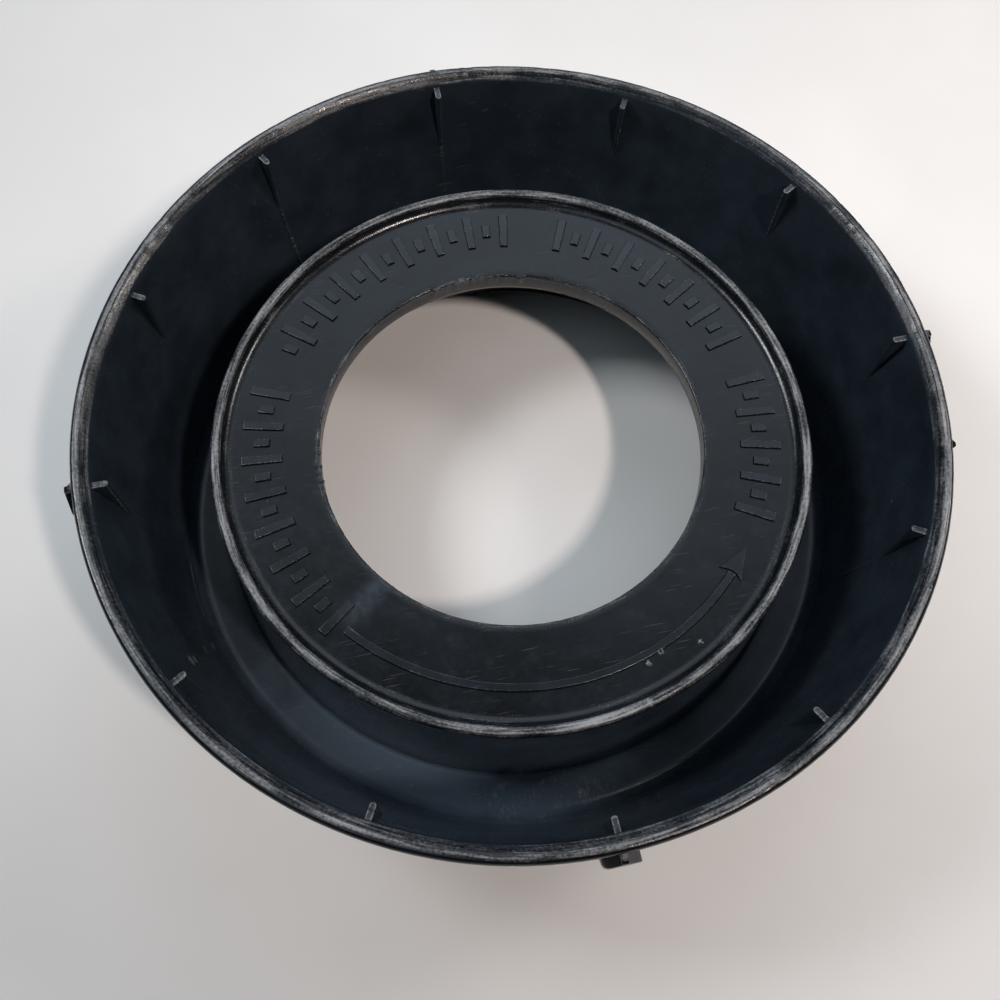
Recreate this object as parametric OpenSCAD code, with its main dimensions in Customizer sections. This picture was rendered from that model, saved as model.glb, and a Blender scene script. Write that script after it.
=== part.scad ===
// Blender jar collar: one injection moulding that screws onto the neck of the jar and
// clamps the blade unit into it. It is modelled as it lies on a table, upside down:
// the jar side rests on z = 0, and the wide rim of the flared skirt is at the top.

/* [Overall] */
// Diameter of the rim at its widest circle
rim_d = 127; // [116:1:150]
// Height from the jar side to the crest of the rim
height = 38; // [34:0.5:48]

/* [Skirt] */
// Thickness of the skirt's wall
skirt_wall = 2.2; // [1.6:0.1:3]
// Slope of the skirt from the vertical, in degrees
flare = 10.8; // [6:0.2:12]
// Thickness of the floor between skirt and cup
floor_t = 2.6; // [1.8:0.1:4]
// Radius of the skirt's outer shoulder, on the jar side
shoulder_r = 2.6; // [1:0.1:4]
// Fillet in the two corners of the trough
trough_fillet = 0.7; // [0.2:0.1:1.5]

/* [Rim] */
// Width of the rim, seen along the axis
lip_w = 2.5; // [2:0.1:3.5]
// Height of the crest over the widest circle, and radius of the outer edge
lip_round = 0.9; // [0.4:0.1:1.2]
// Width of the bevel on the inside of the crest
bevel_w = 1.1; // [0.4:0.1:1.2]
// Height of the bevel on the inside of the crest
bevel_h = 1.1; // [0.4:0.1:1.5]
// Height of the parting step under the widest circle
parting_h = 0.3; // [0.1:0.05:0.6]

/* [Ribs] */
// Number of ribs inside the skirt
rib_count = 12; // [4:4:24]
// Thickness of a rib
rib_t = 0.95; // [0.6:0.05:1.6]
// How far a rib reaches inwards from the inner edge of the rim
rib_reach = 2.4; // [1:0.1:4]
// Depth of the ribs' tops below the crest of the rim
rib_drop = 1.6; // [1.2:0.1:4]
// Width of the witness line that runs on below each rib
witness_w = 0.55; // [0.3:0.05:0.9]
// Height of the witness line over the wall
witness_h = 0.15; // [0.05:0.05:0.4]

/* [Lugs] */
// Number of lugs outside the rim
lug_count = 4; // [2:1:6]
// Width of a lug along the rim
lug_w = 5.2; // [3:0.1:10]
// How far a lug stands out past the rim
lug_reach = 1.2; // [0.6:0.1:3]
// Thickness of the fin along the top of a lug
fin_t = 0.95; // [0.6:0.05:1.6]
// Depth of the fin's inner end below the crest of the rim
fin_drop = 0.6; // [0.3:0.1:1.5]
// Fall of the fin from the rim to its outer end
fin_fall = 0.8; // [0.2:0.1:1.5]
// Depth of the ridge of the lug's roof below the fin's outer end
roof_drop = 0.4; // [0.2:0.1:1]
// Fall of the roof from its ridge to its two ends
roof_fall = 2.6; // [1:0.1:5]
// Height of the lug's upright outer face at its ends
lug_face_h = 1.2; // [0.5:0.1:3]
// Radius of the one rounded corner of a lug
lug_corner_r = 0.9; // [0.3:0.1:1]

/* [Cup] */
// Diameter over the bead round the cup
bead_d = 92.2; // [88:0.2:96]
// Width of the bead
bead_w = 1.6; // [1:0.1:2.4]
// Depth of the bead's crest below the crest of the rim
bead_drop = 10; // [6:0.5:14]
// Height of the bead's crest over the face of the flange
bead_rise = 1.75; // [1.2:0.05:3]
// Overhang of the bead over the wall of the cup
bead_overhang = 0.25; // [0.1:0.05:0.5]
// Angle below the horizontal where the bead's round ends in the overhang
bead_undercut = 30; // [0:5:60]
// Fillet between the bead and the flange
bead_fillet = 0.8; // [0.2:0.1:1]
// Thickness of the cup's wall under the bead, out to which the socket for the jar reaches
cup_wall = 2.65; // [1.6:0.05:4]
// Draft of the cup's outer wall, in degrees
cup_draft = 3.75; // [1:0.25:4]

/* [Flange] */
// Diameter of the centre hole
hole_d = 59.4; // [50:0.2:66]
// Thickness of the flange
flange_t = 3; // [2:0.1:4.5]
// Width of the seat ring round the hole, on the jar side
seat_w = 6; // [3:0.5:10]
// Height of the seat ring over the flange
seat_h = 1.85; // [1:0.05:3]
// Width of the chamfer where the hole opens on the seat ring
seat_chamfer = 0.9; // [0.3:0.1:1.5]
// Radius of the edge where the hole opens on the flange
hole_round = 0.3; // [0.1:0.1:0.8]

/* [Jar socket] */
// Width of the lead-in chamfer at the socket's mouth
mouth_chamfer = 1; // [0.4:0.1:2]
// Fillet between the socket's wall and the flange
socket_fillet = 2; // [0.5:0.1:3]

/* [Hidden] */
$fn = 180;
ARC_STEPS = 8;

plastic = [0.13, 0.14, 0.155];

rim_r = rim_d / 2;
rim_inner_r = rim_r - lip_w;
wide_z = height - lip_round;
bevel_z = height - bevel_h;

bead_r = bead_w / 2;
bead_ring_r = bead_d / 2 - bead_r;
bead_z = height - bead_drop - bead_r;
flange_z = height - bead_drop - bead_rise;
seat_z = flange_z - flange_t - seat_h;
hole_r = hole_d / 2;
// Radius of the socket's wall, which carries the jar's thread
socket_r = bead_d / 2 - bead_overhang - cup_wall;

rib_top = height - rib_drop;
rib_nose_r = rim_inner_r - rib_reach;

lug_r = rim_r + lug_reach;
fin_top = height - fin_drop;
fin_end = fin_top - fin_fall;
ridge_z = fin_end - roof_drop;
eave_z = ridge_z - roof_fall;
lug_foot = eave_z - lug_face_h;

// Inner radius of the skirt at height z
function skirt_in(z) = rim_inner_r - (bevel_z - z) * tan(flare);
// Outer radius of the skirt at height z
function skirt_out(z) = skirt_in(z) + skirt_wall / cos(flare);
// Radius in the middle of the skirt's wall at height z
function skirt_mid(z) = (skirt_in(z) + skirt_out(z)) / 2;
// Outer radius of the cup's wall at height z
function cup_out(z) = bead_d / 2 - bead_overhang + (bead_z - z) * tan(cup_draft);
// Points of an arc of radius r round [x, z], from angle a to angle b
function arc(x, z, r, a, b) =
    [for (i = [0:ARC_STEPS]) let (t = a + (b - a) * i / ARC_STEPS) [x + r * cos(t), z + r * sin(t)]];

// Rim: inner bevel, crest and rounded outer edge, from the inside to the outside
rim_points = concat(
    [[rim_inner_r, bevel_z], [rim_inner_r + bevel_w, height]],
    arc(rim_r - lip_round, wide_z, lip_round, 90, 0),
    [[rim_r, wide_z - parting_h], [skirt_out(wide_z - parting_h), wide_z - parting_h]]);

// Outer shoulder of the skirt, and the jar side as far as the socket's mouth
shoulder_points = concat(
    arc(skirt_out(shoulder_r) - shoulder_r / cos(flare), shoulder_r, shoulder_r, -flare, -90),
    [[socket_r + mouth_chamfer, 0], [socket_r, mouth_chamfer]]);

// Inside of the socket, the seat ring and the hole, up to the face of the flange
socket_points = concat(
    arc(socket_r - socket_fillet, flange_z - flange_t - socket_fillet, socket_fillet, 0, 90),
    [[hole_r + seat_w, flange_z - flange_t], [hole_r + seat_w, seat_z],
     [hole_r + seat_chamfer, seat_z], [hole_r, seat_z + seat_h]],
    arc(hole_r + hole_round, flange_z - hole_round, hole_round, 180, 90));

// Fillet and bead round the flange
bead_points = concat(
    arc(bead_ring_r - bead_r - bead_fillet, flange_z + bead_fillet, bead_fillet, -90, 0),
    arc(bead_ring_r, bead_z, bead_r, 180, -bead_undercut),
    [[cup_out(bead_z - bead_r), bead_z - bead_r]]);

// Trough between the cup and the skirt
trough_points = concat(
    arc(cup_out(floor_t + trough_fillet) + trough_fillet / cos(cup_draft), floor_t + trough_fillet,
        trough_fillet, 180 + cup_draft, 270),
    arc(skirt_in(floor_t + trough_fillet) - trough_fillet / cos(flare), floor_t + trough_fillet,
        trough_fillet, -90, -flare));

// Body of revolution: skirt, floor, cup and flange in one wall
module shell() {
    rotate_extrude()
        polygon(concat(rim_points, shoulder_points, socket_points, bead_points, trough_points));
}

// Space inside the middle of the skirt's wall, up to height top
module skirt_core(top) {
    rotate_extrude()
        polygon([[0, floor_t / 2], [skirt_mid(floor_t / 2), floor_t / 2], [skirt_mid(top), top], [0, top]]);
}

// Upright blade of thickness t with a round nose at radius r, reaching out into the wall
module blade(r, t) {
    translate([r + t / 2, -t / 2, 0]) cube([rim_r - r, t, height]);
    translate([r + t / 2, 0, 0]) cylinder(d = t, h = height);
}

// Ribs inside the skirt: the noses are upright, so they run out into the flared wall
module ribs() {
    intersection() {
        skirt_core(rib_top);
        for (i = [0:rib_count - 1])
            rotate(i * 360 / rib_count) blade(rib_nose_r, rib_t);
    }
}

// Fine raised line on the wall, from each rib down to the floor
module witness_lines() {
    low = floor_t / 2;
    intersection() {
        rotate_extrude()
            polygon([[skirt_in(low) - witness_h, low], [skirt_mid(low), low],
                     [skirt_mid(rib_top), rib_top], [skirt_in(rib_top) - witness_h, rib_top]]);
        for (i = [0:rib_count - 1])
            rotate(i * 360 / rib_count)
                translate([0, -witness_w / 2, 0]) cube([rim_r, witness_w, height]);
    }
}

// Outline of a lug seen along the axis, with its one rounded corner
module lug_plan() {
    inner = skirt_mid(lug_foot - lug_reach);
    c = lug_corner_r;
    end = lug_w / 2;
    translate([inner, -end + c]) square([lug_r - inner + 1, lug_w - c]);
    translate([inner, -end]) square([lug_r - c - inner, c]);
    translate([lug_r - c, -end + c]) circle(r = c);
}

// Front of a lug seen from outside: a roof with its ridge under the fin
module lug_front() {
    low = lug_foot - lug_r + skirt_mid(lug_foot);
    polygon([[-fin_t / 2, ridge_z], [fin_t / 2, ridge_z], [lug_w / 2, eave_z],
             [lug_w / 2, low], [-lug_w / 2, low], [-lug_w / 2, eave_z]]);
}

// Ring that the lugs are cut from: upright outside, with an underside that runs back to the skirt
module lug_ring() {
    low = lug_foot - lug_r + skirt_mid(lug_foot);
    rotate_extrude()
        polygon([[skirt_mid(low), low], [lug_r, lug_foot], [lug_r, ridge_z], [skirt_mid(ridge_z), ridge_z]]);
}

// Ring that the fins are cut from: its top falls from the rim to the outer end
module fin_ring() {
    rotate_extrude()
        polygon([[skirt_mid(eave_z), eave_z], [lug_r, eave_z], [lug_r, fin_end],
                 [rim_r - lip_round, fin_top], [rim_r - lip_round, wide_z - parting_h],
                 [skirt_mid(wide_z - parting_h), wide_z - parting_h]]);
}

// Lugs outside the rim, each with a thin fin along its ridge
module lugs() {
    intersection() {
        lug_ring();
        for (i = [0:lug_count - 1])
            rotate(i * 360 / lug_count) {
                intersection() {
                    linear_extrude(height) lug_plan();
                    rotate([90, 0, 90]) linear_extrude(lug_r + 1) lug_front();
                }
            }
    }
    intersection() {
        fin_ring();
        for (i = [0:lug_count - 1])
            rotate(i * 360 / lug_count)
                translate([0, -fin_t / 2, 0]) cube([lug_r + 1, fin_t, height]);
    }
}

module collar() {
    color(plastic) {
        shell();
        ribs();
        witness_lines();
        lugs();
    }
}

collar();
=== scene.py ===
import math
import bpy
import numpy as np
from mathutils import Matrix, Vector


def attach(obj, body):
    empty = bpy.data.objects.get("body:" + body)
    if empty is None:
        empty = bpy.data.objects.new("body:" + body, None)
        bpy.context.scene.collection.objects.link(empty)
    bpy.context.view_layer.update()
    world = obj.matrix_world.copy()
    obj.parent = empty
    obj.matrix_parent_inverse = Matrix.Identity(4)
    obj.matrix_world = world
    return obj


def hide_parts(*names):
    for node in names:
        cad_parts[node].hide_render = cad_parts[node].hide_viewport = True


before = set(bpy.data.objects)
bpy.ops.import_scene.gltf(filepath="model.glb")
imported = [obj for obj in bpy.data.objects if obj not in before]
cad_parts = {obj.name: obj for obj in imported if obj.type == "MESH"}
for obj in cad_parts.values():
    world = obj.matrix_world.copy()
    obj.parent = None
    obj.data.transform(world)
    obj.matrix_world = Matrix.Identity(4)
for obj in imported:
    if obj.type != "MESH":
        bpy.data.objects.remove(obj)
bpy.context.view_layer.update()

# The skirt: the wide flared wall of the collar with its rim and the floor at its foot.
# It is black polypropylene, moulded in one shot with everything else on the collar. Its rim is
# painted grey, partly as scuffs from standing on worktops and being dropped into the base, and partly as a painted
# highlight along its rounded crest.
MM = 0.001
ROUND = 800
FLARE = math.radians(10.8)
WALL = 2.2
RIM_R, CREST_Z, WIDE_Z, RIM_ROUND = 63.5, 38.0, 37.1, 0.9
LIP_R, LIP_Z = 61.0, 36.9
FLOOR_Z, FLOOR_SPLIT_R, FOOT_SPLIT_R = 2.6, 50.6, 47.6
CORNER_R, SHOULDER_R = 2.4, 2.6
BLACK, FILM_AND_SHEEN = (0.0035, 0.0045, 0.006, 1), (0.055, 0.080, 0.110, 1)
DARK_WEAR_AND_HIGHLIGHT, PALE_WEAR_AND_HIGHLIGHT = (0.045, 0.048, 0.054, 1), (0.31, 0.32, 0.335, 1)
SCRATCHED, SCUFFED = (0.070, 0.074, 0.080, 1), (0.12, 0.125, 0.135, 1)
SPECKLED, CRUMBLED = (0.30, 0.31, 0.32, 1), (0.15, 0.165, 0.145, 1)


def skirt_in(z):
    """Radius of the skirt's inner face at height z."""
    return LIP_R - (LIP_Z - z) * math.tan(FLARE)


def skirt_out(z):
    """Radius of the skirt's outer face at height z."""
    return skirt_in(z) + WALL / math.cos(FLARE)


def bend(r, z, radius, first, last, steps, wear_and_highlight=0.0):
    """A rounded edge of the section, as rows of radius, height and how much wear and painted highlight it has."""
    turn = np.radians(np.linspace(first, last, steps + 1))
    return np.column_stack([r + radius * np.cos(turn), z + radius * np.sin(turn), np.full(steps + 1, wear_and_highlight)])


def section(rows, step):
    """The rows in one line, with its straight stretches cut no longer than step."""
    rows = np.vstack([np.atleast_2d(np.asarray(row, float)) for row in rows])
    line = [rows[0]]
    for before, after in zip(rows[:-1], rows[1:]):
        parts = max(1, math.ceil(math.hypot(*(after - before)[:2]) / step))
        line += [before + (after - before) * (k + 1) / parts for k in range(parts)]
    return np.array(line)


def unevenness(angle, seed, waves, size):
    """A smooth wander round the collar, made of whole waves with random phases."""
    dice = np.random.default_rng(seed)
    total = sum(dice.normal() * np.sin(n * angle + dice.uniform(0, 2 * math.pi)) for n in waves)
    return total * size / math.sqrt(len(waves))


def nicks(angle, places, widths, depths):
    """Small dents round an edge, each a soft notch at one angle."""
    found = np.zeros_like(angle)
    for place, width, depth in zip(places, widths, depths):
        apart = (angle - place + math.pi) % (2 * math.pi) - math.pi
        found += depth * np.exp(-((apart / width) ** 2))
    return found


def within(angle, first, last, fade=0.03):
    """1 between two angles in degrees, and 0 outside them."""
    middle, half = math.radians((first + last) / 2), math.radians((last - first) / 2)
    apart = np.abs((angle - middle + math.pi) % (2 * math.pi) - math.pi)
    return np.clip((half - apart) / fade, 0, 1)


def dust_and_sheen_on(points):
    """How much pale film each point has: dust, and a painted sheen at the near side. The film lies in the trough, and
    most of it low on the walls.
    """
    r, z = np.hypot(points[:, 0], points[:, 1]), points[:, 2]
    in_trough = (z > FLOOR_Z - 0.1) & (r < skirt_in(z) + 0.3) & (r > np.where(z > 26, 47, 45.3))
    # Painted sheen: the floor and the low wall at the near side are made paler, as where the light sheens on them.
    sheen_side = within(np.arctan2(points[:, 1], points[:, 0]), 196, 292, 0.45)
    on_wall = 0.26 + (0.14 + 0.36 * sheen_side) * np.clip((12 - z) / 4, 0, 1)
    on_cup = 0.48 + 0.10 * np.clip((14 - z) / 6, 0, 1)
    on_floor = np.clip((FLOOR_Z + 0.9 - z) / 0.8, 0, 1)
    upright = np.where(r < 50, on_cup, on_wall)
    return in_trough * (upright * (1 - on_floor) + (0.30 + 0.90 * sheen_side) * on_floor)


class Wiring:
    """Puts nodes into one node tree and joins them up."""

    def __init__(self, tree):
        self.tree = tree

    def put(self, kind, inputs, **settings):
        made = self.tree.nodes.new("ShaderNode" + kind)
        for key, value in settings.items():
            setattr(made, key, value)
        for key, value in inputs.items():
            if isinstance(value, bpy.types.NodeSocket):
                self.tree.links.new(value, made.inputs[key])
            else:
                made.inputs[key].default_value = value
        return made

    def maths(self, operation, a, b=0.0, clamp=False):
        return self.put("Math", {0: a, 1: b}, operation=operation, use_clamp=clamp).outputs[0]

    def ramp(self, value, low, high, bottom=0.0, top=1.0):
        ends = {"Value": value, "From Min": low, "From Max": high, "To Min": bottom, "To Max": top}
        return self.put("MapRange", ends, interpolation_type="SMOOTHSTEP").outputs["Result"]

    def cloud(self, where, scale, detail=3.0, rough=0.55):
        inputs = {"Vector": where, "Scale": scale, "Detail": detail, "Roughness": rough}
        return self.put("TexNoise", inputs).outputs["Fac"]

    def placed(self, where, turn, stretch, shift=(0, 0, 0)):
        inputs = {"Vector": where, "Rotation": turn, "Scale": stretch, "Location": shift}
        return self.put("Mapping", inputs).outputs["Vector"]

    def near(self, where, centre, reach, core=0.0):
        """1 at the centre of a small area, and 0 from reach outwards."""
        apart = self.put("VectorMath", {0: where, 1: centre}, operation="DISTANCE").outputs["Value"]
        return self.ramp(apart, reach, reach * core)

    def blend(self, amount, under, over):
        """One colour laid over another by amount."""
        return self.put("Mix", {0: amount, 6: under, 7: over}, data_type="RGBA").outputs[2]


def moulded_plastic(name):
    """Glossy black plastic with a film of dust and painted sheen, a painted highlight across the flange, fine
    scratches, specks, and grey wear with painted highlights.
    """
    material = bpy.data.materials.new(name)
    material.use_nodes = True
    shader = material.node_tree.nodes["Principled BSDF"]
    wire = Wiring(material.node_tree)
    maths, ramp, cloud, placed = wire.maths, wire.ramp, wire.cloud, wire.placed

    scaled = {0: wire.put("TexCoord", {}).outputs["Object"], "Scale": 1 / MM}
    millimetres = wire.put("VectorMath", scaled, operation="SCALE").outputs["Vector"]
    x, y, z = wire.put("SeparateXYZ", {"Vector": millimetres}).outputs
    radius = maths("SQRT", maths("ADD", maths("MULTIPLY", x, x), maths("MULTIPLY", y, y)))

    def round_about(length, width, detail):
        """Streaks that run round the collar, of this length and width."""
        along = [maths("MULTIPLY", maths("DIVIDE", side, radius), 50 / length) for side in (x, y)]
        across = maths("MULTIPLY", radius, 1 / width)
        where = wire.put("CombineXYZ", {"X": along[0], "Y": along[1], "Z": across}).outputs["Vector"]
        inputs = {"Vector": where, "W": maths("MULTIPLY", z, 1 / width), "Scale": 1.0, "Detail": detail}
        return wire.put("TexNoise", inputs, noise_dimensions="4D").outputs["Fac"]

    # The skin is nearly black, and the film of dust over it is uneven; at the near side the film is also a painted
    # sheen.
    dust_and_sheen = wire.put("Attribute", {}, attribute_name="dust_and_sheen").outputs["Fac"]
    uneven = ramp(cloud(millimetres, 0.16, 3.0, 0.6), 0.25, 0.75, 0.7, 1.3)
    mottled = cloud(millimetres, 0.9, 3.0)
    spots = cloud(millimetres, 2.4, 3.0, 0.7)
    hazy = ramp(cloud(millimetres, 0.33, 4.0, 0.62), 0.50, 0.80)
    cloudy = ramp(cloud(millimetres, 0.075, 2.0, 0.6), 0.35, 0.65, 0.0, 0.05)
    film_and_sheen = maths("ADD", maths("MULTIPLY", dust_and_sheen, uneven), maths("MULTIPLY", hazy, 0.04))
    film_and_sheen = maths("ADD", film_and_sheen, cloudy, clamp=True)
    colour = wire.blend(film_and_sheen, BLACK, FILM_AND_SHEEN)

    # A painted highlight: a pale streak of glare across the flange, by the tail of the arrow.
    painted_glare_at = placed(millimetres, (0, 0, math.radians(-218.6)), (1, 1, 1))
    along, across, _ = wire.put("SeparateXYZ", {"Vector": painted_glare_at}).outputs
    painted_glare = maths("MULTIPLY", ramp(maths("ABSOLUTE", across), 2.8, 0.2), ramp(along, 40.5, 34.5))
    painted_glare = maths("MULTIPLY", painted_glare, ramp(along, 20.0, 30.0))
    painted_glare = maths("MULTIPLY", painted_glare, ramp(mottled, 0.3, 0.7, 0.6, 1.0))
    painted_glare = maths("MULTIPLY", painted_glare, ramp(z, FLANGE_Z - 0.8, FLANGE_Z - 0.3))
    colour = wire.blend(maths("MULTIPLY", painted_glare, 0.28), colour, FILM_AND_SHEEN)

    # Hair-fine scratches in several directions, each broken up into short lengths.
    scratches = None
    for turn, seed in ((0.35, 11.0), (1.25, 23.0), (2.3, 37.0)):
        hairs = cloud(placed(millimetres, (0.12, 0.08, turn), (0.16, 5.5, 0.9), (seed, seed * 2, 0)), 1.0, 1.0)
        short = ramp(cloud(placed(millimetres, (0, 0, turn), (1, 1, 1), (seed * 3, 0, seed)), 0.16, 1.0), 0.50, 0.64)
        one = maths("MULTIPLY", ramp(hairs, 0.69, 0.76), short)
        scratches = one if scratches is None else maths("MAXIMUM", scratches, one)
    colour = wire.blend(maths("MULTIPLY", scratches, 0.38), colour, SCRATCHED)

    # Scuffs on the floor of the trough, at the near side: a cloud of short strokes.
    scuffs = None
    for centre, reach in (((-5, -50.6, 2.6), 9.0), ((-12, -49.5, 2.6), 6.0), ((3, -51.2, 2.6), 5.0)):
        here = wire.near(millimetres, centre, reach, 0.2)
        scuffs = here if scuffs is None else maths("MAXIMUM", scuffs, here)
    strokes = cloud(placed(millimetres, (0, 0, 0.9), (2.0, 0.9, 1.0)), 1.0, 4.0, 0.75)
    scuffs = maths("MULTIPLY", scuffs, ramp(strokes, 0.48, 0.68))
    scuffs = maths("MULTIPLY", scuffs, ramp(cloud(millimetres, 0.30, 2.0, 0.65), 0.40, 0.60))
    fleck = wire.near(millimetres, (0.6, -51.6, 2.6), 1.0, 0.3)
    fleck = maths("MULTIPLY", fleck, ramp(spots, 0.48, 0.58))
    colour = wire.blend(maths("MAXIMUM", maths("MULTIPLY", scuffs, 0.95), fleck), colour, SCUFFED)
    colour = wire.blend(maths("MULTIPLY", fleck, 0.8), colour, SPECKLED)

    # Grey on the edges, in patches and streaks that run round the collar: wear, and painted highlights where edges
    # catch the light.
    wear_and_highlight = wire.put("Attribute", {}, attribute_name="wear_and_highlight").outputs["Fac"]
    grain = maths("ADD", maths("MULTIPLY", round_about(5.0, 0.26, 3.0), 0.6), maths("MULTIPLY", spots, 0.4))
    patchy = ramp(cloud(millimetres, 0.11, 2.0), 0.3, 0.7, -0.13, 0.13)
    grain = maths("MULTIPLY", maths("SUBTRACT", grain, 0.5), 2.4)
    reached = maths("ADD", maths("ADD", grain, patchy), wear_and_highlight)
    wear_and_highlight_mask = maths("MULTIPLY", ramp(reached, 0.28, 0.80), ramp(wear_and_highlight, 0.02, 0.12))
    wear_and_highlight_colour = wire.blend(ramp(reached, 0.50, 1.25), DARK_WEAR_AND_HIGHLIGHT, PALE_WEAR_AND_HIGHLIGHT)
    colour = wire.blend(wear_and_highlight_mask, colour, wear_and_highlight_colour)

    # White specks of dust and lime, and crumbs stuck on the wall at the left.
    cells = wire.put("TexVoronoi", {"Vector": millimetres, "Scale": 0.42}, feature="F1")
    chosen, size, _ = wire.put("SeparateColor", {"Color": cells.outputs["Color"]}).outputs
    small = maths("LESS_THAN", cells.outputs["Distance"], maths("MULTIPLY", size, 0.055))
    speck = maths("MULTIPLY", ramp(chosen, 0.86, 0.87), small)
    broken = ramp(spots, 0.47, 0.56)
    for centre in ((11.55, -38.5, 26.3), (13.67, -37.2, 26.3), (19.67, -37.0, 26.3)):
        speck = maths("MAXIMUM", speck, wire.near(millimetres, centre, 0.60, 0.3))
    colour = wire.blend(maths("MULTIPLY", maths("MULTIPLY", speck, broken), 0.8), colour, SPECKLED)
    crumbs = None
    for centre, reach in (((-53.0, -23.4, 21.4), 1.1), ((-52.9, -22.8, 19.4), 0.9), ((-52.7, -19.3, 11.8), 0.8),
                          ((-52.2, -17.4, 7.0), 0.9)):
        here = wire.near(millimetres, centre, reach, 0.4)
        crumbs = here if crumbs is None else maths("MAXIMUM", crumbs, here)
    crumbs = maths("MULTIPLY", crumbs, ramp(spots, 0.38, 0.50))
    colour = wire.blend(maths("MULTIPLY", crumbs, 0.9), colour, CRUMBLED)
    wire.tree.links.new(colour, shader.inputs["Base Color"])

    rough = maths("ADD", ramp(mottled, 0.25, 0.75, 0.19, 0.26), maths("MULTIPLY", hazy, 0.08))
    matt = maths("MAXIMUM", maths("MAXIMUM", wear_and_highlight_mask, scratches), maths("MAXIMUM", scuffs, crumbs))
    rough = maths("ADD", maths("ADD", rough, maths("MULTIPLY", matt, 0.25)), maths("MULTIPLY", painted_glare, 0.15))
    wire.tree.links.new(rough, shader.inputs["Roughness"])

    # Relief: the faint peel of the mould's skin, which is rougher on the worn and highlighted edges.
    peel = maths("MULTIPLY", cloud(millimetres, 2.6, 2.0), maths("ADD", maths("MULTIPLY", wear_and_highlight, 0.045), 0.005))
    relief = maths("ADD", peel, maths("MULTIPLY", cloud(millimetres, 0.28, 0.0), 0.03))
    bumped = wire.put("Bump", {"Height": relief, "Strength": 1.0, "Distance": MM})
    wire.tree.links.new(bumped.outputs["Normal"], shader.inputs["Normal"])
    return material


FLANGE_Z = 26.25
black_plastic = moulded_plastic("black_plastic")


def finish_mesh(name, points, faces, wear_and_highlight, pale_top=0.0):
    """A mesh object in metres that shades smoothly, with its wear and painted highlights, and its dust and painted
    sheen, on its points.
    """
    points = np.asarray(points)
    dust_and_sheen = dust_and_sheen_on(points) + pale_top * (points[:, 2] > points[:, 2].max() - 0.03)
    mesh = bpy.data.meshes.new(name)
    mesh.from_pydata((points * MM).tolist(), [], faces)
    for kind, amounts in (("wear_and_highlight", wear_and_highlight), ("dust_and_sheen", dust_and_sheen)):
        layer = mesh.attributes.new(kind, "FLOAT", "POINT")
        layer.data.foreach_set("value", np.asarray(amounts, np.float32))
    mesh.shade_smooth()
    mesh.set_sharp_from_angle(angle=math.radians(35))
    mesh.materials.append(black_plastic)
    piece = bpy.data.objects.new(name, mesh)
    bpy.context.scene.collection.objects.link(piece)
    return piece


def turned(name, line, shape):
    """The section line turned about the axis. shape moves the points, to make it less perfect."""
    angle = np.arange(ROUND) * 2 * math.pi / ROUND
    a, r = np.meshgrid(angle, line[:, 0], indexing="ij")
    z = np.broadcast_to(line[:, 1], a.shape).copy()
    wear_and_highlight = np.broadcast_to(line[:, 2], a.shape).copy()
    r, z, wear_and_highlight = shape(a, r.copy(), z, wear_and_highlight)
    points = np.stack([r * np.cos(a), r * np.sin(a), z], -1).reshape(-1, 3)
    rows = len(line)
    here = (np.arange(ROUND)[:, None] * rows + np.arange(rows - 1)[None, :]).ravel()
    there = (here + rows) % (ROUND * rows)
    faces = np.stack([here, here + 1, there + 1, there], -1).tolist()
    return finish_mesh(name, points, faces, wear_and_highlight.ravel())


CORNER_TOP = FLOOR_Z + CORNER_R * (1 - math.sin(FLARE))
skirt_line = section([
    [FLOOR_SPLIT_R, FLOOR_Z, 0],
    bend(skirt_in(FLOOR_Z + CORNER_R) - CORNER_R / math.cos(FLARE), FLOOR_Z + CORNER_R, CORNER_R,
         -90, -math.degrees(FLARE), 12),
    [skirt_in(CORNER_TOP + 0.25), CORNER_TOP + 0.25, 0.0],
    [skirt_in(CORNER_TOP + 0.40) - 0.05, CORNER_TOP + 0.40, 0.02],
    [skirt_in(CORNER_TOP + 0.55), CORNER_TOP + 0.55, 0.0],
    [LIP_R - 0.12, LIP_Z - 0.3, 0.0], [LIP_R, LIP_Z, 0.50], [LIP_R + 0.15, LIP_Z + 0.16, 0.44],
    [LIP_R + 0.6, LIP_Z + 0.64, 0.42], [LIP_R + 0.95, CREST_Z - 0.14, 0.44], [LIP_R + 1.1, CREST_Z - 0.05, 0.6],
    [LIP_R + 1.25, CREST_Z, 0.80], [LIP_R + 1.55, CREST_Z, 0.80],
    bend(RIM_R - RIM_ROUND, WIDE_Z, RIM_ROUND, 80, 80, 1, 0.66), bend(RIM_R - RIM_ROUND, WIDE_Z, RIM_ROUND, 66, 66, 1, 0.28),
    bend(RIM_R - RIM_ROUND, WIDE_Z, RIM_ROUND, 52, 0, 4, 0.05),
    [RIM_R, WIDE_Z - 0.3, 0.12], [skirt_out(WIDE_Z - 0.3), WIDE_Z - 0.32, 0.0],
    bend(skirt_out(SHOULDER_R) - SHOULDER_R / math.cos(FLARE), SHOULDER_R, SHOULDER_R, -math.degrees(FLARE), -90, 8, 0.15),
    [FOOT_SPLIT_R, 0, 0.1],
], 1.3)


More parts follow.
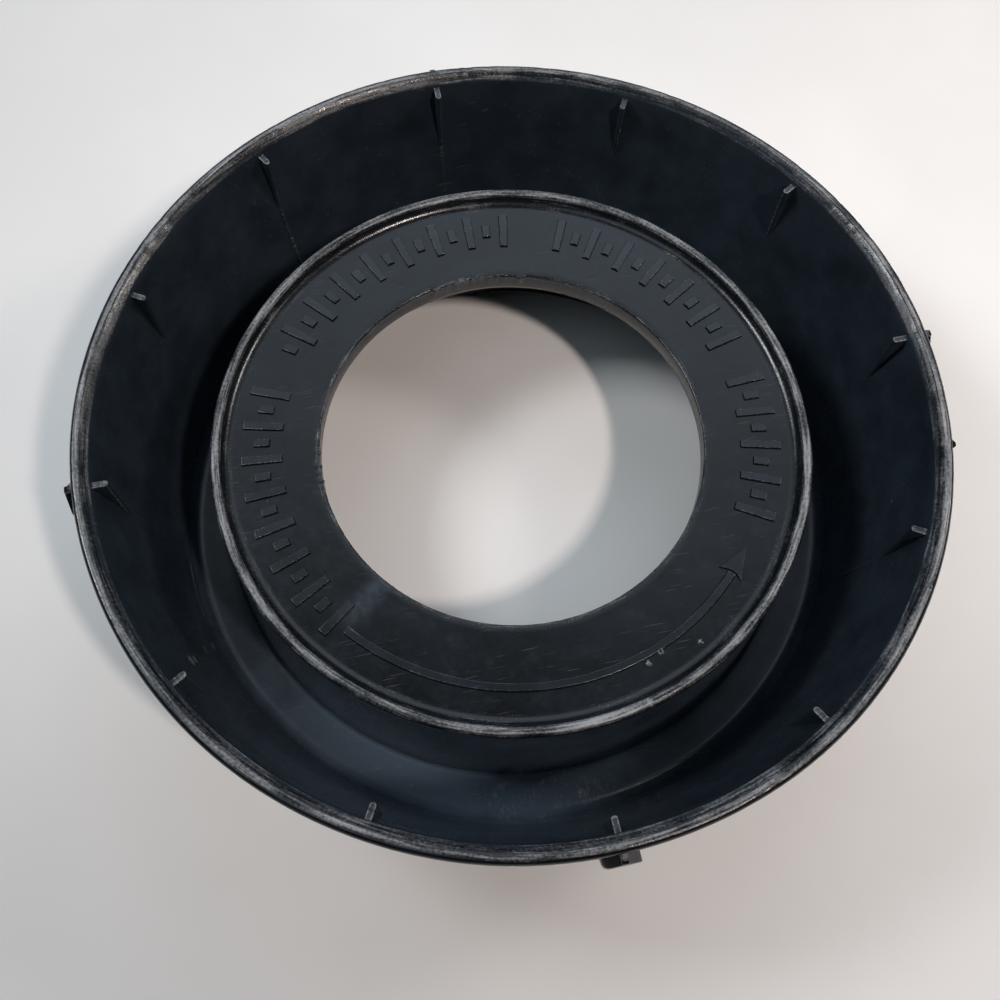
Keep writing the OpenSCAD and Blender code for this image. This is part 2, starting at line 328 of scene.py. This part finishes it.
def skirt_shape(a, r, z, wear_and_highlight):
    """Chips along the rim, a slightly uneven wall, and the insert's parting line at its foot."""
    dice = np.random.default_rng(5)
    count = 60
    places, widths = dice.uniform(0, 2 * math.pi, count), dice.uniform(0.004, 0.012, count)
    depths = dice.uniform(0.03, 0.13, count)
    line = (np.abs(z - CORNER_TOP - 0.40) < 0.05) & (r < RIM_R - 5)
    # The parting line is painted pale along three stretches round the collar.
    pale_stretches = within(a, 180, 194) + within(a, 256, 261.5) + within(a, 271, 286)
    wear_and_highlight = np.where(line, 0.9 * pale_stretches, wear_and_highlight)
    # Wear and painted highlight: the rim's bevel is made paler and its crest less pale on the near side.
    bevel = (z > LIP_Z - 0.05) & (z < CREST_Z - 0.1) & (r < LIP_R + 1.2)
    wear_and_highlight = wear_and_highlight + 0.10 * bevel * within(a, 198, 338, 0.3)
    wear_and_highlight = wear_and_highlight * (1 - 0.14 * within(a, 222, 300, 0.4) * (z > CREST_Z - 0.1))
    top = np.clip((z - 36.7) / 1.3, 0, 1)
    z = z - top * (np.abs(unevenness(a, 3, range(30, 90, 7), 0.02)) + nicks(a, places, widths, depths))
    r = r + np.clip((r - 50) / 13, 0, 1) * unevenness(a, 8, (2, 3, 5, 9), 0.05)
    burr = (np.abs(z - 36.9) < 0.25) * (r > 63)
    return r + burr * nicks(a, [math.radians(343.1)], [0.007], [0.75]), z, wear_and_highlight


skirt = turned("skirt", skirt_line, skirt_shape)
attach(skirt, "root")
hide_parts("collar")

# The ribs: twelve thin upright gussets that guide the collar onto the ring of the base.
# They are moulded with the skirt, and a fine parting line of the mould's inserts runs
# from the foot of each one down the wall to the floor.
RIBS = 12
RIB_T, RIB_NOSE_R, RIB_TOP, RIB_FOOT = 0.95, 58.6, 36.4, 22.0


def swept(loops, wear_and_highlight, closed_top):
    """Points and faces of a skin through loops of equal length, open between each loop's ends."""
    count = len(loops[0])
    faces = [[k * count + i, k * count + i + 1, (k + 1) * count + i + 1, (k + 1) * count + i]
             for k in range(len(loops) - 1) for i in range(count - 1)]
    if closed_top:
        faces.append([(len(loops) - 1) * count + i for i in range(count)])
    return np.vstack(loops), faces, np.repeat(wear_and_highlight, count)


def spun(points, degrees):
    """The points turned about the collar's axis."""
    turn = math.radians(degrees)
    x, y, z = np.asarray(points, float).T
    return np.column_stack([x * math.cos(turn) - y * math.sin(turn), x * math.sin(turn) + y * math.cos(turn), z])


def gather(parts):
    """Several (points, faces, worn) in one."""
    points, faces, wear_and_highlight, start = [], [], [], 0
    for p, f, w in parts:
        points.append(p)
        faces += [[start + i for i in face] for face in f]
        wear_and_highlight.append(w)
        start += len(p)
    return np.vstack(points), faces, np.concatenate(wear_and_highlight)


def rib_loop(inset, z):
    """Outline of a rib at one height: two sides and a round nose."""
    half = RIB_T / 2 - inset
    nose = RIB_NOSE_R + RIB_T / 2
    turn = np.radians(np.linspace(90, 270, 11))
    back = max(skirt_in(z), nose) + 0.5
    sides = np.linspace(back, nose, 5)[:-1]
    left = [(s, half) for s in sides]
    tip = [(nose + half * math.cos(t), half * math.sin(t)) for t in turn]
    right = [(s, -half) for s in sides[::-1]]
    return np.array([(u, v, z) for u, v in left + tip + right])


rib_levels = [(0, z) for z in np.linspace(RIB_FOOT, RIB_TOP - 0.5, 9)]
rib_levels += [(0, RIB_TOP - 0.14), (0.04, RIB_TOP - 0.05), (0.14, RIB_TOP), (0.28, RIB_TOP - 0.03)]
# The rounded top edges of the ribs are painted pale, as wear and as painted highlights.
rib_skin = swept([rib_loop(inset, z) for inset, z in rib_levels], [0.0] * 9 + [0.25, 0.70, 0.65, 0.40], True)


def witness(k):
    """The parting line under rib k, prouder under the fourth."""
    proud, half = (0.14, 0.36) if k == 4 else (0.05, 0.42)
    across = ((-half, 0.06), (-half / 2, -proud), (half / 2, -proud), (half, 0.06))
    loops = [np.array([(skirt_in(z) + d, v, z) for v, d in across]) for z in np.linspace(5.4, 26, 16)]
    # Painted highlight: the lines get wear values so that they show pale, as where they catch the light.
    return swept(loops, [0.40 if k in (3, 4) else 0.20] * len(loops), False)


ribs = finish_mesh("ribs", *gather([(spun(p, 360 / RIBS * k), f, w)
                                    for k in range(RIBS) for p, f, w in (rib_skin, witness(k))]))
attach(ribs, "root")
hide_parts("collar")

# The lugs: four small roof-shaped nubs under the rim, each with a thin fin on its ridge.
# They key the collar in the base, and are moulded solid with the skirt.
LUGS = 4
LUG_R, LUG_HALF, LUG_ROUND = 64.7, 2.6, 0.9
RIDGE_Z, EAVE_Z, FACE_Z, FIN_T = 36.2, 33.6, 32.4, 0.95
FIN_IN_R, FIN_TOP, FIN_FALL = 62.6, 37.4, 0.8
EDGE = 0.14


def lug_section(t, shrink):
    """Radial section of the lug at t along the rim, its outline drawn in by shrink."""
    down = max(0.0, abs(t) - FIN_T / 2) / (LUG_HALF - FIN_T / 2) * (RIDGE_Z - EAVE_Z)
    past = max(0.0, -t - (LUG_HALF - LUG_ROUND))
    out = math.sqrt(LUG_R**2 - t**2) - (LUG_ROUND - math.sqrt(max(0.0, LUG_ROUND**2 - past**2))) - shrink
    top = RIDGE_Z - down - shrink
    back = skirt_out(RIDGE_Z - down) - 0.9
    return np.array([(back, t, top), ((back + out) / 2, t, top), (out - EDGE, t, top),
                     (out - EDGE * 0.3, t, top - EDGE * 0.3), (out, t, top - EDGE), (out, t, (top + FACE_Z) / 2),
                     (out, t, FACE_Z + shrink), (skirt_out(29.5) - 0.9, t, 29.0)])


ends = [(LUG_HALF, EDGE), (LUG_HALF - EDGE * 0.3, EDGE * 0.3), (LUG_HALF - EDGE, 0)]
middle = [(t, 0) for t in (-2.3, -2.1, -1.7, -1.2, -FIN_T / 2, 0, FIN_T / 2, 1.2, 1.9)]
across = [(-t, shrink) for t, shrink in ends] + middle + ends[::-1]
lug_worn = [0.4] * 2 + [0.1] * (len(across) - 4) + [0.4] * 2
lug_points, lug_faces, lug_worn = swept([lug_section(t, shrink) for t, shrink in across], lug_worn, True)
lug_skin = (lug_points, [face[::-1] for face in lug_faces] + [list(range(8))], lug_worn)


def fin_section(r, shrink):
    """Section of the fin across its thickness, at radius r."""
    top = FIN_TOP - (r - FIN_IN_R) / (LUG_R - FIN_IN_R) * FIN_FALL - shrink
    half = FIN_T / 2 - shrink
    side = [(half, EAVE_Z + 1), (half, RIDGE_Z), (half, top - EDGE), (half - EDGE * 0.3, top - EDGE * 0.3),
            (half - EDGE, top)]
    return np.array([(r, v, z) for v, z in side] + [(r, 0, top)] + [(r, -v, z) for v, z in side[::-1]])


fin_ends = ((62.3, 0), (62.9, 0), (63.6, 0), (LUG_R - EDGE, 0), (LUG_R - EDGE * 0.3, EDGE * 0.3), (LUG_R, EDGE))
# The fin's top is painted pale, as wear and as a painted highlight along its ridge.
fin_skin = swept([fin_section(r, s) for r, s in fin_ends], [0.9, 0.9, 0.75, 0.3, 0.5, 0.5], True)
lugs = finish_mesh("lugs", *gather([(spun(p, 360 / LUGS * k), f, w)
                                    for k in range(LUGS) for p, f, w in (lug_skin, fin_skin)]))
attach(lugs, "root")
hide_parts("collar")

# The cup: the inner wall that stands up from the floor, its bead, and the flange with the
# centre hole for the blade unit. On the jar side it is the socket for the jar's neck.
# The bead's crest is painted pale, as scuffs and as a painted highlight, and the edge of the hole has torn gate and
# flash marks.
BEAD_R, BEAD_RING_R, BEAD_Z, BEAD_FOOT = 0.8, 45.3, 27.2, 1.7
FLANGE_UNDER_Z, SEAT_Z = 23.25, 21.4
HOLE_R, SEAT_OUT_R, SOCKET_R, SOCKET_ROUND = 29.7, 35.7, 43.2, 2.0
CUP_CORNER_R = 0.8
DRAFT = math.radians(3.75)


def cup_out(z):
    """Radius of the cup's outer wall at height z."""
    return BEAD_RING_R + BEAD_R - 0.25 + (BEAD_Z - z) * math.tan(DRAFT)


FOOT_Z = FLANGE_Z + BEAD_FOOT
FOOT_R = BEAD_RING_R - math.sqrt((BEAD_R + BEAD_FOOT) ** 2 - (FOOT_Z - BEAD_Z) ** 2)
FOOT_TURN = math.degrees(math.atan2(BEAD_Z - FOOT_Z, BEAD_RING_R - FOOT_R))
cup_line = section([
    [FLOOR_SPLIT_R, FLOOR_Z, 0],
    bend(cup_out(FLOOR_Z + CUP_CORNER_R) + CUP_CORNER_R / math.cos(DRAFT), FLOOR_Z + CUP_CORNER_R, CUP_CORNER_R,
         270, 180 + math.degrees(DRAFT), 6),
    [cup_out(BEAD_Z - BEAD_R), BEAD_Z - BEAD_R, 0.0],
    bend(BEAD_RING_R, BEAD_Z, BEAD_R, -30, 10, 3, 0.15), bend(BEAD_RING_R, BEAD_Z, BEAD_R, 25, 50, 2, 0.50),
    bend(BEAD_RING_R, BEAD_Z, BEAD_R, 62, 98, 3, 0.72), bend(BEAD_RING_R, BEAD_Z, BEAD_R, 108, 130, 2, 0.74),
    bend(BEAD_RING_R, BEAD_Z, BEAD_R, 142, 180 + FOOT_TURN, 2, 0.58),
    bend(FOOT_R, FOOT_Z, BEAD_FOOT, FOOT_TURN - 4, -90, 14, 0.24),
    [FOOT_R - 0.5, FLANGE_Z, 0.0], [HOLE_R + 1.2, FLANGE_Z, 0.0], bend(HOLE_R + 0.3, FLANGE_Z - 0.3, 0.3, 90, 180, 4, 0.45),
    [HOLE_R, FLANGE_UNDER_Z, 0.1], [HOLE_R + 0.9, SEAT_Z, 0.3], [SEAT_OUT_R, SEAT_Z, 0.0],
    [SEAT_OUT_R, FLANGE_UNDER_Z, 0.0],
    bend(SOCKET_R - SOCKET_ROUND, FLANGE_UNDER_Z - SOCKET_ROUND, SOCKET_ROUND, 90, 0, 7),
    [SOCKET_R, 1.0, 0.1], [SOCKET_R + 1.0, 0.0, 0.4], [FOOT_SPLIT_R, 0, 0.1],
], 1.4)


def cup_shape(a, r, z, wear_and_highlight):
    """Flash and torn gates at the hole's edge, and an uneven crest on the bead."""
    edge = np.exp(-(((r - HOLE_R - 0.15) / 0.5) ** 2)) * np.clip((z - 24.6) / 1.4, 0, 1)
    flash = nicks(a, np.radians([102.8, 101.6, 74.9, 76.2]), [0.012, 0.007, 0.012, 0.006], [0.62, 0.3, 0.6, 0.25])
    flash += within(a, 74, 104, 0.02) * (0.12 + unevenness(a, 21, range(60, 150, 11), 0.10))
    flash += within(a, 165, 187) * unevenness(a, 22, range(70, 170, 13), 0.16)
    r = r - edge * (flash + unevenness(a, 23, range(40, 100, 9), 0.02))
    crest = np.clip((z - 27.3) / 0.7, 0, 1) * (r > 40)
    chip = nicks(a, [math.radians(282.6)], [0.009], [0.16])
    # The crest is made paler at the near side and at the right, as wear and painted highlight, and marked at a chip.
    wear_and_highlight = wear_and_highlight + crest * (0.30 * within(a, 262, 283, 0.15) - 0.04 * within(a, 225, 256, 0.2) + 0.12 * within(a, 312, 348, 0.2) + 2.0 * chip)
    return r, z - crest * (chip + np.abs(unevenness(a, 24, range(35, 110, 9), 0.025))), wear_and_highlight


cup = turned("cup", cup_line, cup_shape)
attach(cup, "root")
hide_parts("collar")

# The jar's thread: a coarse right-hand thread inside the socket, a turn and a half long,
# moulded with the wall, with ends that fade out.
THREAD_PITCH, THREAD_LOW, THREAD_TURNS, THREAD_PROUD = 6.0, 4.2, 1.5, 1.25
THREAD_SIDE = ((0.12, 1.25), (-0.35, 1.0), (-THREAD_PROUD + 0.1, 0.52), (-THREAD_PROUD, 0.36))


def thread_loop(turns):
    """Section of the thread after so many turns."""
    fade = min(1.0, turns / 0.05, (THREAD_TURNS - turns) / 0.05)
    a, z = 2 * math.pi * turns, THREAD_LOW + THREAD_PITCH * turns
    rows = [(d, -h) for d, h in THREAD_SIDE] + list(THREAD_SIDE[::-1])
    return np.array([((SOCKET_R + d * fade) * math.cos(a), (SOCKET_R + d * fade) * math.sin(a), z + h)
                     for d, h in rows])


thread_steps = np.linspace(0.002, THREAD_TURNS - 0.002, 541)
thread = finish_mesh("jar_thread", *swept([thread_loop(t) for t in thread_steps], [0.1] * len(thread_steps), True))
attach(thread, "root")
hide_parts("collar")

# The raised arrow on the flange, which shows which way the collar turns. It stands 0.4 mm
# over the face, engraved in the mould.
SIGN_H, SIGN_EDGE, ARROW_R, ARROW_W = 0.35, 0.12, 38.9, 1.25


def raised(outline):
    """A raised plate on the flange with softened edges, over an outline of (radius, degrees) points."""
    flat = np.array([(r * math.cos(math.radians(a)), r * math.sin(math.radians(a))) for r, a in outline])
    ahead, behind = np.roll(flat, -1, 0) - flat, flat - np.roll(flat, 1, 0)
    normal = ahead / np.linalg.norm(ahead, axis=1)[:, None] + behind / np.linalg.norm(behind, axis=1)[:, None]
    normal = np.column_stack([-normal[:, 1], normal[:, 0]]) / np.linalg.norm(normal, axis=1)[:, None]
    steps = [(-0.12, -0.05), (-0.02, 0.06)]
    steps += [(0.04 + SIGN_EDGE * (1 - math.cos(t)), SIGN_H - SIGN_EDGE * (1 - math.sin(t)))
              for t in np.radians([0, 30, 60, 90])]
    steps += [(0.04 + SIGN_EDGE + 0.09, SIGN_H)]
    loops = [np.column_stack([flat + normal * inset, np.full(len(flat), FLANGE_Z + z)]) for inset, z in steps]
    count = len(flat)
    faces = [[k * count + i, k * count + (i + 1) % count, (k + 1) * count + (i + 1) % count, (k + 1) * count + i]
             for k in range(len(loops) - 1) for i in range(count)]
    faces.append([(len(loops) - 1) * count + i for i in range(count)])
    # The rounded edges get wear values that paint them pale: painted highlights along the edges.
    return np.vstack(loops), faces, np.repeat([0.0, 0.0, 0.15, 0.45, 0.50, 0.35, 0.08], count)


def stroke(inner, outer, first, last, steps):
    """Outline of a bar of the flange between two radii and two angles, anticlockwise."""
    way = np.linspace(first, last, steps + 1)
    return [(outer, a) for a in way] + [(inner, a) for a in way[::-1]]


arrow_line = raised(stroke(ARROW_R - ARROW_W / 2, ARROW_R + ARROW_W / 2, 219.7, 314.2, 90))
arrow_head = raised([(40.6, 313.7), (39.0, 321.0), (36.9, 313.7), (ARROW_R - 0.4, 314.5), (ARROW_R + 0.4, 314.5)])
arrow = finish_mesh("flange_arrow", *gather([arrow_line, arrow_head]), pale_top=0.11)
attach(arrow, "root")

# The raised marks on the flange: plain bars, long and short by turns like the scale of a
# dial, in four groups round the hole. They are engraved in the mould as the arrow is.
MARK_GROUPS, MARK_PITCH = ((-30.0, 4.0), (15.5, 66.0), (80.0, 144.5), (157.0, 216.5)), 4.2
LONG_MARK, SHORT_MARK = (35.4, 41.6, 1.3), (37.3, 39.7, 1.3)


def mark(middle_at, inner, outer, wide):
    """One bar of the scale, at an angle in degrees."""
    half = math.degrees(wide / (inner + outer))
    return raised(stroke(inner, outer, middle_at - half, middle_at + half, 2))


bars = []
for first, last in MARK_GROUPS:
    places = np.linspace(first, last, round((last - first) / MARK_PITCH) + 1)
    bars += [mark(place, *(SHORT_MARK if k % 2 else LONG_MARK)) for k, place in enumerate(places)]
marks = finish_mesh("flange_marks", *gather(bars), pale_top=0.11)
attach(marks, "root")

# The table: a pale, plain surface with a soft sheen, on which the collar lies.
# It is laminate, faintly uneven in tone.
TABLE_R, TABLE_SPOKES = 1.6, 64
PALE_LOW, PALE_HIGH = (0.765, 0.750, 0.738, 1), (0.805, 0.793, 0.782, 1)
spokes = np.linspace(0, 2 * math.pi, TABLE_SPOKES + 1)[:-1]
rings = [TABLE_R / 16, TABLE_R / 8, TABLE_R / 4, TABLE_R / 2, TABLE_R]
table_points = [(0, 0, 0)] + [(r * math.cos(a), r * math.sin(a), 0) for r in rings for a in spokes]
table_faces = [(0, 1 + i, 1 + (i + 1) % TABLE_SPOKES) for i in range(TABLE_SPOKES)]
for k in range(len(rings) - 1):
    inner, outer = 1 + k * TABLE_SPOKES, 1 + (k + 1) * TABLE_SPOKES
    table_faces += [(inner + i, outer + i, outer + (i + 1) % TABLE_SPOKES, inner + (i + 1) % TABLE_SPOKES)
                    for i in range(TABLE_SPOKES)]
table_mesh = bpy.data.meshes.new("table")
table_mesh.from_pydata(table_points, [], table_faces)
table = bpy.data.objects.new("table", table_mesh)
bpy.context.scene.collection.objects.link(table)
pale = bpy.data.materials.new("pale_table")
pale.use_nodes = True
pale_wire = Wiring(pale.node_tree)
pale_shader = pale.node_tree.nodes["Principled BSDF"]
pale_shader.inputs["Roughness"].default_value = 0.5
pale_where = pale_wire.put("TexCoord", {}).outputs["Object"]
pale_tone = pale_wire.blend(pale_wire.ramp(pale_wire.cloud(pale_where, 14.0, 4.0), 0.35, 0.65), PALE_LOW, PALE_HIGH)
pale.node_tree.links.new(pale_tone, pale_shader.inputs["Base Color"])
table_mesh.materials.append(pale)

# The light: a dark room with two broad soft glows, as from a window at the left and a wall
# beyond, and three soft lamps, a cool one at the far left and warm ones right and near.
BACKDROP = (0.60, 0.60, 0.61, 1)
room = bpy.data.worlds.new("room")
bpy.context.scene.world = room
room.use_nodes = True
room_wire = Wiring(room.node_tree)
facing = room_wire.put("TexCoord", {}).outputs["Generated"]


def toward(azimuth, height):
    """Direction from the collar towards an azimuth and a height, in degrees."""
    a, e = math.radians(azimuth), math.radians(height)
    return Vector((math.cos(a) * math.cos(e), math.sin(a) * math.cos(e), math.sin(e)))


def glow(azimuth, height, reach, colour):
    """Light from the room around one direction, which fades out at reach, in degrees."""
    dot = room_wire.put("VectorMath", {0: facing, 1: toward(azimuth, height)}, operation="DOT_PRODUCT")
    level = room_wire.ramp(dot.outputs["Value"], math.cos(math.radians(reach)), 1.0)
    return room_wire.put("VectorMath", {0: colour, "Scale": level}, operation="SCALE").outputs["Vector"]


window = glow(205, 61, 24, (0.76, 0.90, 0.99))
wall_beyond = glow(80, 44, 37, (0.80, 0.92, 1.06))
over = glow(42, 47, 36, (0.26, 0.31, 0.36))
both = room_wire.put("VectorMath", {0: window, 1: wall_beyond}, operation="ADD").outputs["Vector"]
whole = room_wire.put("VectorMath", {0: both, 1: over}, operation="ADD").outputs["Vector"]
seen = room_wire.put("LightPath", {}).outputs["Is Camera Ray"]
shown = room_wire.blend(seen, whole, BACKDROP)
room.node_tree.links.new(shown, room.node_tree.nodes["Background"].inputs["Color"])


def lamp(name, azimuth, height, distance, size, aim, spread, watts, colour):
    """A soft lamp at azimuth and height from the collar, in degrees, which faces a point of the table."""
    light = bpy.data.lights.new(name, "AREA")
    light.shape = "RECTANGLE"
    light.size, light.size_y = size
    light.energy, light.color, light.spread = watts, colour, math.radians(spread)
    holder = bpy.data.objects.new(name, light)
    holder.location = toward(azimuth, height) * distance
    holder.rotation_euler = (holder.location - Vector((*aim, 0))).to_track_quat("Z", "Y").to_euler()
    bpy.context.scene.collection.objects.link(holder)


lamp("lamp_near", 303.2, 57.7, 0.795, (0.04, 0.07), (0.106, 0.015), 64, 0.375, (1.0, 0.87, 0.80))
lamp("lamp_right", 5.6, 40.7, 0.404, (0.08, 0.08), (0.09, 0.09), 107, 0.165, (1.0, 0.95, 0.90))
lamp("lamp_far", 151.3, 49.8, 0.489, (0.14, 0.14), (0.022, 0.077), 67, 0.165, (0.95, 0.985, 1.0))

# The camera stands a little to the near side of the axis, close over the collar, and is
# rolled a few degrees, as a hand holds it.
CAMERA_AT, CAMERA_TURN, CAMERA_DOWN, CAMERA_ROLL = (-0.02022, -0.06974, 0.17866), 74.92, 67.79, 3.257
camera = bpy.data.objects.new("camera", bpy.data.cameras.new("camera"))
camera.data.lens, camera.data.sensor_width = 39.24, 36.0
camera.data.clip_start = 0.01
look = Matrix.Rotation(math.radians(CAMERA_TURN - 90), 4, "Z") @ Matrix.Rotation(math.radians(90 - CAMERA_DOWN), 4, "X")
look = look @ Matrix.Rotation(math.radians(CAMERA_ROLL), 4, "Z")
camera.matrix_world = Matrix.Translation(CAMERA_AT) @ look
bpy.context.scene.collection.objects.link(camera)
bpy.context.scene.camera = camera
bpy.context.scene.view_settings.view_transform = "Standard"
